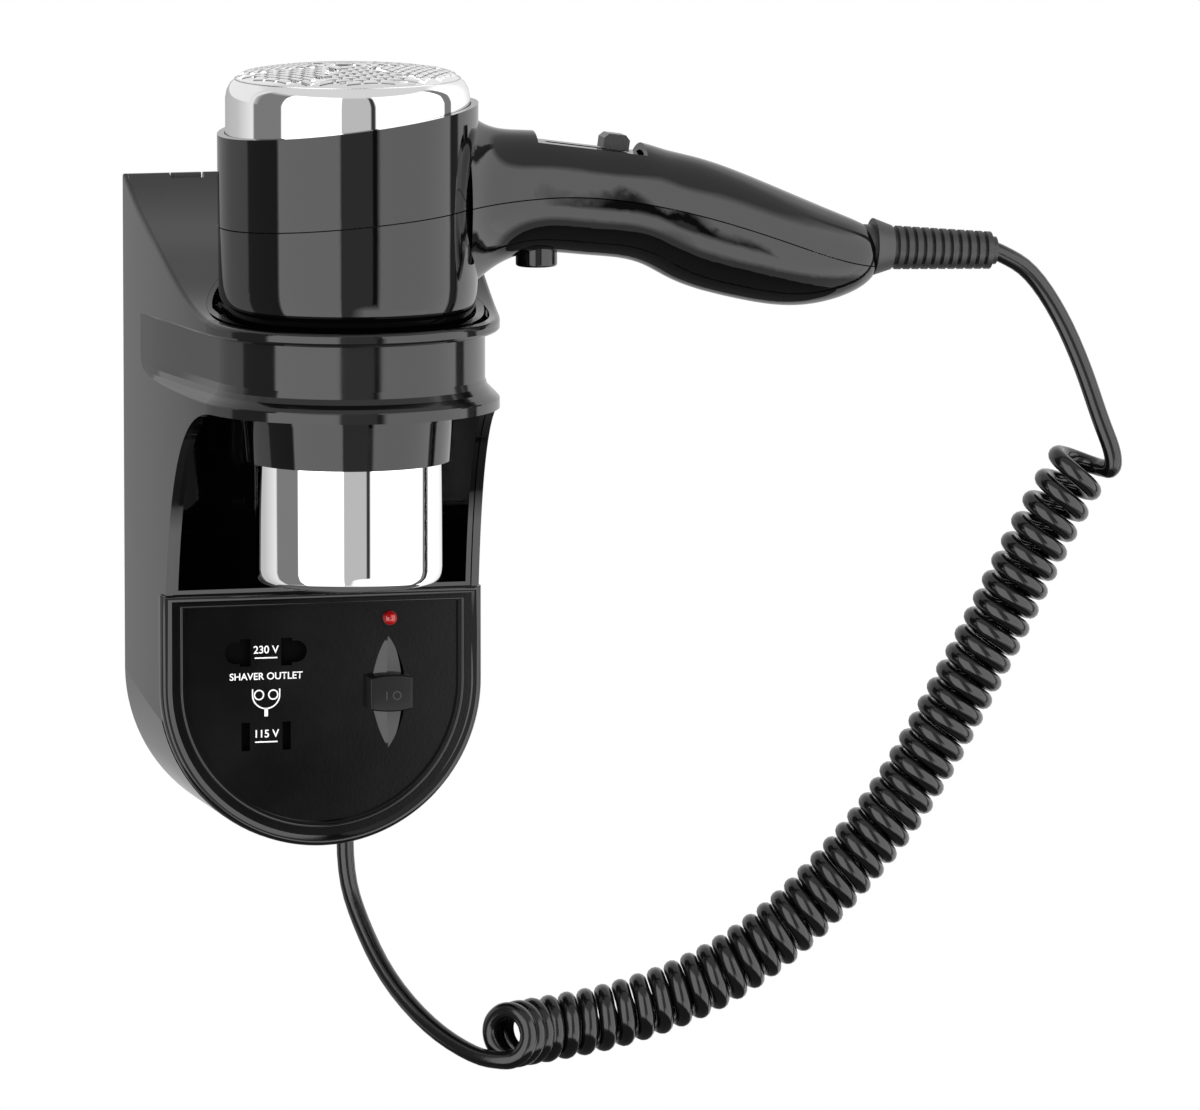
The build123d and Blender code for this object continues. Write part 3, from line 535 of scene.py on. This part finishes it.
nozzle = build_nozzle()
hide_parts("chrome_nozzle")


# ---- front panel details ----
def build_switch_dish():
    """The pointed-oval well behind the thumb switch, with two facets that meet along its middle."""
    centre_x = (KNOB_LOW.x + KNOB_HIGH.x) / 2
    centre_z = (KNOB_LOW.z + KNOB_HIGH.z) / 2
    bm = bmesh.new()
    steps = 36
    rows = []
    for k in range(steps + 1):
        t = -1 + 2 * k / steps
        z = centre_z + WELL_HALF_HEIGHT * t
        half = WELL_HALF_WIDTH * (1 - t * t) ** 0.7
        deep = min(WELL_DEPTH, half * 0.34)
        ridge = centre_x - half * 0.08
        rows.append([bm.verts.new((centre_x - half, PANEL_FACE + deep, z)),
                     bm.verts.new((ridge, PANEL_FACE + 0.0001, z)),
                     bm.verts.new((centre_x + half * 0.8, PANEL_FACE + 0.00022, z)),
                     bm.verts.new((centre_x + half, PANEL_FACE + deep, z))])
    for low_row, high_row in zip(rows, rows[1:]):
        for a in range(3):
            bm.faces.new((low_row[a], low_row[a + 1], high_row[a + 1], high_row[a]))
    return finish_piece("switch_dish", bm, "panel_black", "root", sharp=math.radians(12))


def build_thumb():
    """The switch's thumb piece: a block bowed at its top and bottom, with softened edges."""
    centre_x = (KNOB_LOW.x + KNOB_HIGH.x) / 2
    centre_z = (KNOB_LOW.z + KNOB_HIGH.z) / 2
    front = KNOB_LOW.y
    back = PANEL_FACE + 0.0002
    bm = bmesh.new()
    columns = 24
    outline = []
    for side in (1, -1):
        for k in range(columns + 1):
            t = side * (-1 + 2 * k / columns)
            reach = THUMB_HALF_HEIGHT + THUMB_BOW * (1 - t * t)
            outline.append((centre_x + THUMB_HALF_WIDTH * t, centre_z + side * reach))
    rim = [bm.verts.new((x, front, z)) for x, z in outline]
    face = bm.faces.new(rim)
    result = bmesh.ops.extrude_face_region(bm, geom=[face])
    moved = [v for v in result["geom"] if isinstance(v, bmesh.types.BMVert)]
    bmesh.ops.translate(bm, verts=moved, vec=(0, back - front, 0))
    bmesh.ops.recalc_face_normals(bm, faces=bm.faces)
    edges = [e for e in bm.edges if all(abs(v.co.y - front) < 1e-6 for v in e.verts)]
    bmesh.ops.bevel(bm, geom=edges, offset=THUMB_ROUND, segments=3, profile=0.5, affect="EDGES",
                    material=-1)
    return finish_piece("switch_thumb", bm, "knob_black", "panel_switch", sharp=math.radians(40))


def flat_ring(bm, centre, radius, width, front, start=0.0, turn=math.tau, steps=40):
    """A thin printed arc or circle on the panel."""
    rows = []
    for k in range(steps + 1):
        angle = start + turn * k / steps
        c, s = math.cos(angle), math.sin(angle)
        rows.append([bm.verts.new((centre[0] + (radius + d) * c, front, centre[1] + (radius + d) * s))
                     for d in (-width / 2, width / 2)])
    for a, b in zip(rows, rows[1:]):
        bm.faces.new((a[0], a[1], b[1], b[0]))


def flat_bar(bm, a, b, width, front):
    """A straight printed stroke between two (x, z) points."""
    start, stop = Vector(a), Vector(b)
    side = (stop - start).normalized().orthogonal() * width / 2
    corners = [start + side, stop + side, stop - side, start - side]
    bm.faces.new([bm.verts.new((c.x, front, c.y)) for c in corners])


def build_thumb_mark():
    """A raised bar and circle on the thumb piece, for on and off."""
    front = KNOB_LOW.y - 0.00008
    x = (KNOB_LOW.x + KNOB_HIGH.x) / 2
    z = (KNOB_LOW.z + KNOB_HIGH.z) / 2 - 0.0006
    apart = 0.0016
    stroke = 0.0003
    bm = bmesh.new()
    flat_ring(bm, (x + apart, z), 0.0012, stroke, front)
    flat_bar(bm, (x - apart, z - 0.0013), (x - apart, z + 0.0013), stroke, front)
    printed("thumb_mark", bm, "relief_rubber", "panel_switch")


def face_front(bm):
    """Turns every printed face towards the front."""
    bm.normal_update()
    for face in bm.faces:
        if face.normal.y > 0:
            face.normal_flip()


def printed(name, bm, material="print_white", body="root"):
    """A flat printed or moulded mark as a piece of its own."""
    face_front(bm)
    mesh = bpy.data.meshes.new(name)
    bm.to_mesh(mesh)
    bm.free()
    piece = bpy.data.objects.new(name, mesh)
    scene.collection.objects.link(piece)
    piece.data.materials.append(MATERIALS[material])
    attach(piece, body)
    return piece


def lettering(name, words, size, x, z):
    """Plain printed letters, centred at a place on the panel face."""
    data = bpy.data.curves.new(name, "FONT")
    data.body = words
    data.size = size
    data.align_x = "CENTER"
    data.align_y = "CENTER"
    data.offset = size * 0.012
    carrier = bpy.data.objects.new(name, data)
    scene.collection.objects.link(carrier)
    bpy.context.view_layer.update()
    mesh = bpy.data.meshes.new_from_object(carrier.evaluated_get(bpy.context.evaluated_depsgraph_get()))
    bpy.data.objects.remove(carrier)
    bm = bmesh.new()
    bm.from_mesh(mesh)
    bmesh.ops.rotate(bm, verts=bm.verts, matrix=Matrix.Rotation(math.pi / 2, 3, "X"))
    bmesh.ops.translate(bm, verts=bm.verts, vec=(x, PRINT_FACE, z))
    return printed(name, bm)


def build_print():
    """Plain ratings, a plain caption and a shaver outline between the sockets."""
    lettering("rating_high", "230 V", RATING_SIZE, SOCKETS_X, HIGH_RATING_Z)
    lettering("rating_low", "115 V", RATING_SIZE, SOCKETS_X, LOW_RATING_Z)
    lettering("caption", "SHAVER OUTLET", CAPTION_SIZE, SOCKETS_X, CAPTION_Z)
    bm = bmesh.new()
    for rating in (HIGH_RATING_Z, LOW_RATING_Z):
        line = rating - UNDERLINE_DROP
        ends = [(SOCKETS_X - UNDERLINE_HALF, line), (SOCKETS_X + UNDERLINE_HALF, line)]
        flat_bar(bm, *ends, STROKE, PRINT_FACE)
    frame_radius = 0.0042
    for side in (-1, 1):
        flat_ring(bm, (SOCKETS_X + side * 0.0022, SHAVER_Z), 0.0014, STROKE, PRINT_FACE)
        x = SOCKETS_X + side * frame_radius
        flat_bar(bm, (x, SHAVER_Z), (x, SHAVER_Z + 0.0018), STROKE, PRINT_FACE)
    flat_ring(bm, (SOCKETS_X, SHAVER_Z), frame_radius, STROKE, PRINT_FACE, start=math.pi, turn=math.pi)
    grip = SHAVER_Z - frame_radius
    flat_bar(bm, (SOCKETS_X, grip), (SOCKETS_X, grip - 0.0024), 0.0011, PRINT_FACE)
    printed("shaver_outline", bm)


def build_shutters():
    """Thin shutters that close the sockets behind the panel, near-black and almost unreflecting: painted
    shade in the socket holes.
    """
    wide = 0.0078
    front = PANEL_FACE + 0.00262
    bm = bmesh.new()
    for z, tall in ((-0.0400, 0.0052), (-0.0657, 0.0054)):
        for side in (-1, 1):
            x = SOCKETS_X + side * 0.0081
            corners = [(x - wide, z - tall), (x + wide, z - tall), (x + wide, z + tall), (x - wide, z + tall)]
            face = bm.faces.new([bm.verts.new((cx, front, cz)) for cx, cz in corners])
            extruded = bmesh.ops.extrude_face_region(bm, geom=[face])
            moved = [v for v in extruded["geom"] if isinstance(v, bmesh.types.BMVert)]
            bmesh.ops.translate(bm, verts=moved, vec=(0, 0.00015, 0))
    return finish_piece("socket_shutters", bm, "socket_painted_shade", "root", smooth=False)


def outline_at(inset):
    """The panel's outline, drawn in by an inset: straight top and sides and a round bottom."""
    radius = PANEL_RADIUS - inset
    top = PANEL_HIGH.z - 0.57 * inset
    points = [(-radius, top), (radius, top)]
    steps = 72
    for k in range(steps + 1):
        angle = -math.pi * k / steps
        points.append((radius * math.cos(angle), PANEL_ROUND_Z + radius * math.sin(angle)))
    return points


def build_surround():
    """The panel's rounded outer frame with the thin bead round its sunken face."""
    front = PANEL_FACE - RIM_STEP
    profile = [(0.3, -2.0), (0.3, -1.2), (0.5, -0.4), (0.9, 0.1), (1.5, 0.35), (2.3, 0.35), (3.4, 0.05),
               (4.6, -0.5), (5.3, -0.75), (5.6, -0.6), (5.8, 0.2), (6.1, 0.55), (6.5, 0.6), (6.8, 0.4),
               (7.05, -0.1), (7.3, -1.2), (7.5, -1.6)]
    bm = bmesh.new()
    loops = []
    for inset, forward in profile:
        loops.append([bm.verts.new((x, front - forward * MM, z)) for x, z in outline_at(inset * MM)])
    for a, b in zip(loops, loops[1:]):
        for k in range(len(a)):
            n = (k + 1) % len(a)
            bm.faces.new((a[k], a[n], b[n], b[k]))
    return finish_piece("panel_surround", bm, "panel_black", "root", sharp=math.radians(50))


build_switch_dish()
build_surround()
thumb = build_thumb()
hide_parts("panel_switch_knob")
build_thumb_mark()
build_print()
build_shutters()


# ---- world, lights, floor, camera ----
# (azimuth in degrees, strength) of the studio's walls and softboxes, from the back round by the left
STUDIO_WALLS = [(-180, 0.58), (-140, 0.7), (-113, 1.1), (-112, 0.26), (-78, 0.26), (-76, 3.7), (-20, 3.7),
                (-18.5, 0.66), (9, 0.66), (9.6, 0.05), (13, 0.05), (16.5, 3.4), (89, 3.0), (91, 0.25),
                (101, 0.25), (103, 2.0), (140, 1.2), (180, 0.58)]
BRIGHTEST_WALL = 4.0
CEILING = 0.9
LOW_SOFTBOX = 3.4
BACK_WALL = 1.1
FLOOR_RADIUS = 0.45
FLOOR_Z = -0.42


def build_world():
    """A white studio with two tall softboxes and dark gaps, read by direction round the object."""
    world = bpy.data.worlds.new("studio")
    scene.world = world
    world.use_nodes = True
    tree = world.node_tree
    tree.nodes.clear()
    out = add(tree, "ShaderNodeOutputWorld")
    place = add(tree, "ShaderNodeTexCoord").outputs["Generated"]
    split = add(tree, "ShaderNodeSeparateXYZ")
    tree.links.new(place, split.inputs[0])
    behind = math_node(tree, "MULTIPLY", split.outputs["Y"], -1.0)
    turn = math_node(tree, "ARCTAN2", split.outputs["X"], behind)
    around = map_range(tree, turn, -math.pi, math.pi, 0.0, 1.0)
    ramp = add(tree, "ShaderNodeValToRGB")
    ramp.color_ramp.interpolation = "LINEAR"
    tree.links.new(around, ramp.inputs["Fac"])
    stops = ramp.color_ramp.elements
    while len(stops) > 1:
        stops.remove(stops[-1])
    for k, (azimuth, level) in enumerate(STUDIO_WALLS):
        position = (azimuth + 180) / 360
        stop = stops[0] if k == 0 else stops.new(position)
        stop.position = position
        stop.color = grey(level / BRIGHTEST_WALL)
    sides = math_node(tree, "MULTIPLY", ramp.outputs["Color"], BRIGHTEST_WALL)
    up = math_node(tree, "ABSOLUTE", split.outputs["Z"], 0.0)
    over = map_range(tree, up, 0.62, 0.74, 0.0, 1.0)
    rising = map_range(tree, split.outputs["Z"], 0.0, 0.08, 0.0, BACK_WALL)
    behind_only = map_range(tree, split.outputs["Y"], 0.2, 0.5, 0.0, 1.0)
    wall_glow = math_node(tree, "MULTIPLY", rising, behind_only)
    sides = math_node(tree, "MAXIMUM", sides, wall_glow)
    low_box = map_range(tree, split.outputs["Z"], -0.26, -0.40, 0.0, LOW_SOFTBOX)
    in_front = map_range(tree, split.outputs["Y"], -0.05, -0.35, 0.0, 1.0)
    to_right = map_range(tree, split.outputs["X"], -0.20, 0.05, 0.0, 1.0)
    low_glow = math_node(tree, "MULTIPLY", low_box, math_node(tree, "MULTIPLY", in_front, to_right))
    sides = math_node(tree, "MAXIMUM", sides, low_glow)
    mix = add(tree, "ShaderNodeMix", data_type="FLOAT")
    tree.links.new(over, mix.inputs["Factor"])
    tree.links.new(sides, mix.inputs["A"])
    mix.inputs["B"].default_value = CEILING
    light = add(tree, "ShaderNodeBackground")
    tree.links.new(mix.outputs["Result"], light.inputs["Strength"])
    white = add(tree, "ShaderNodeBackground")
    white.inputs["Color"].default_value = (1, 1, 1, 1)
    white.inputs["Strength"].default_value = 1.0
    seen = add(tree, "ShaderNodeLightPath").outputs["Is Camera Ray"]
    choose = add(tree, "ShaderNodeMixShader")
    tree.links.new(seen, choose.inputs[0])
    tree.links.new(light.outputs[0], choose.inputs[1])
    tree.links.new(white.outputs[0], choose.inputs[2])
    tree.links.new(choose.outputs[0], out.inputs["Surface"])


def build_floor():
    """A round white floor, small enough that level reflections pass over its edge to the studio."""
    bm = bmesh.new()
    bmesh.ops.create_circle(bm, cap_ends=True, radius=FLOOR_RADIUS, segments=96)
    bmesh.ops.translate(bm, verts=bm.verts, vec=(0, 0, FLOOR_Z))
    mesh = bpy.data.meshes.new("studio_floor")
    bm.to_mesh(mesh)
    bm.free()
    floor = bpy.data.objects.new("studio_floor", mesh)
    scene.collection.objects.link(floor)
    material = bpy.data.materials.new("pale_floor")
    material.use_nodes = True
    tree = material.node_tree
    shader = tree.nodes["Principled BSDF"]
    shader.inputs["Base Color"].default_value = (0, 0, 0, 1)
    shader.inputs["Roughness"].default_value = 0.9
    shader.inputs["Specular IOR Level"].default_value = 0.0
    shader.inputs["Emission Color"].default_value = (1, 1, 1, 1)
    shader.inputs["Emission Strength"].default_value = 1.0
    shade = add(tree, "ShaderNodeBsdfDiffuse")
    reach = add(tree, "ShaderNodeVectorMath", operation="LENGTH")
    tree.links.new(add(tree, "ShaderNodeTexCoord").outputs["Object"], reach.inputs[0])
    tree.links.new(map_range(tree, reach.outputs["Value"], 0.50, 0.66, 0.12, 0.06), shade.inputs["Color"])
    direct = add(tree, "ShaderNodeLightPath").outputs["Is Camera Ray"]
    choose = add(tree, "ShaderNodeMixShader")
    tree.links.new(direct, choose.inputs[0])
    tree.links.new(shade.outputs[0], choose.inputs[1])
    tree.links.new(shader.outputs[0], choose.inputs[2])
    tree.links.new(choose.outputs[0], tree.nodes["Material Output"].inputs["Surface"])
    floor.data.materials.append(material)


def build_camera():
    """A long lens from the front left, a little above the object."""
    azimuth = math.radians(-14)
    elevation = math.radians(7.5)
    distance = 3.9
    target = Vector((0.0849, -0.060, -0.0124))
    level = math.cos(elevation)
    direction = Vector((math.sin(azimuth) * level, -math.cos(azimuth) * level, math.sin(elevation)))
    data = bpy.data.cameras.new("camera")
    data.sensor_width = 36
    data.lens = 385.2
    data.clip_end = 100
    camera = bpy.data.objects.new("camera", data)
    scene.collection.objects.link(camera)
    camera.location = target + direction * distance
    camera.rotation_euler = (-direction).to_track_quat("-Z", "Y").to_euler()
    scene.camera = camera


build_world()
build_floor()
build_camera()
scene.view_settings.view_transform = "Standard"
